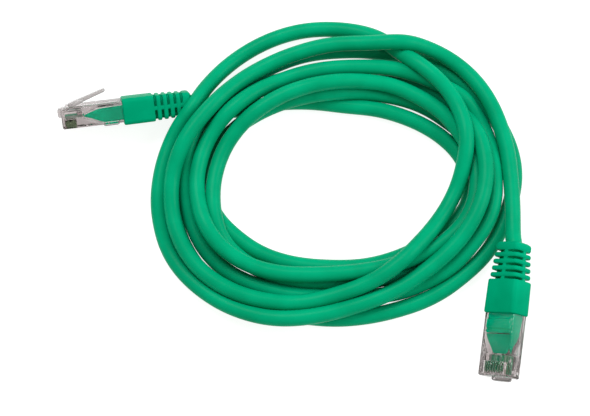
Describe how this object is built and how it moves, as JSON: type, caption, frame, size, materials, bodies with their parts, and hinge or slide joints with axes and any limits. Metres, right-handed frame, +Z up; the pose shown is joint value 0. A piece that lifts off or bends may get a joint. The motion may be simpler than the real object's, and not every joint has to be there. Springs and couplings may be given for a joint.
{
  "type": "ethernet patch cable",
  "caption": "Coiled round network patch cable with a clear modular plug, gold contacts, springy latch and ribbed moulded boot at each end.",
  "frame": {"origin": "bottom centre of the bounding box of the whole cable as it lies coiled on a table", "axes": "+Z up, away from the table the coil rests on; +X from the left plug towards the coil; +Y away from the viewer"},
  "size_m": [0.155, 0.1238, 0.0168],
  "materials": {
    "cable_green": "satin flexible PVC jacket, same compound on the boots",
    "clear_plug": "transparent polycarbonate, polished mould finish",
    "gold_contact": "gold flash over nickel on phosphor bronze",
    "wire_blue": "thin solid-colour wire insulation",
    "wire_brown": "thin solid-colour wire insulation",
    "wire_green": "thin solid-colour wire insulation",
    "wire_guide": "translucent moulded guide",
    "wire_orange": "thin solid-colour wire insulation",
    "wire_white_blue": "thin solid-colour wire insulation",
    "wire_white_brown": "thin solid-colour wire insulation",
    "wire_white_green": "thin solid-colour wire insulation",
    "wire_white_orange": "thin solid-colour wire insulation"
  },
  "bodies": {
    "cable": {"cable_coil": "cable_green", "left_boot": "cable_green", "left_cable_tail": "cable_green", "left_conductor_1": "wire_white_orange", "left_conductor_2": "wire_orange", "left_conductor_3": "wire_white_green", "left_conductor_4": "wire_blue", "left_conductor_5": "wire_white_blue", "left_conductor_6": "wire_green", "left_conductor_7": "wire_white_brown", "left_conductor_8": "wire_brown", "left_contact_1": "gold_contact", "left_contact_2": "gold_contact", "left_contact_3": "gold_contact", "left_contact_4": "gold_contact", "left_contact_5": "gold_contact", "left_contact_6": "gold_contact", "left_contact_7": "gold_contact", "left_contact_8": "gold_contact", "left_load_bar": "wire_guide", "left_plug_housing": "clear_plug", "right_boot": "cable_green", "right_cable_tail": "cable_green", "right_conductor_1": "wire_white_orange", "right_conductor_2": "wire_orange", "right_conductor_3": "wire_white_green", "right_conductor_4": "wire_blue", "right_conductor_5": "wire_white_blue", "right_conductor_6": "wire_green", "right_conductor_7": "wire_white_brown", "right_conductor_8": "wire_brown", "right_contact_1": "gold_contact", "right_contact_2": "gold_contact", "right_contact_3": "gold_contact", "right_contact_4": "gold_contact", "right_contact_5": "gold_contact", "right_contact_6": "gold_contact", "right_contact_7": "gold_contact", "right_contact_8": "gold_contact", "right_load_bar": "wire_guide", "right_plug_housing": "clear_plug"},
    "left_latch": {"left_plug_latch": "clear_plug"},
    "right_latch": {"right_plug_latch": "clear_plug"}
  },
  "joints": [
    {"name": "left_latch_hinge", "type": "hinge", "parent": "cable", "child": "left_latch", "pos_m": [-0.07324, 0.02845, 0.01134], "axis": [-0.1697, 0.4238, -0.8897], "range_deg": [0, 14], "stiffness_Nm_per_rad": 0.15},
    {"name": "right_latch_hinge", "type": "hinge", "parent": "cable", "child": "right_latch", "pos_m": [0.06884, -0.05766, 0.00452], "axis": [0.6905, -0.1643, 0.7044], "range_deg": [0, 14], "stiffness_Nm_per_rad": 0.15}
  ]
}
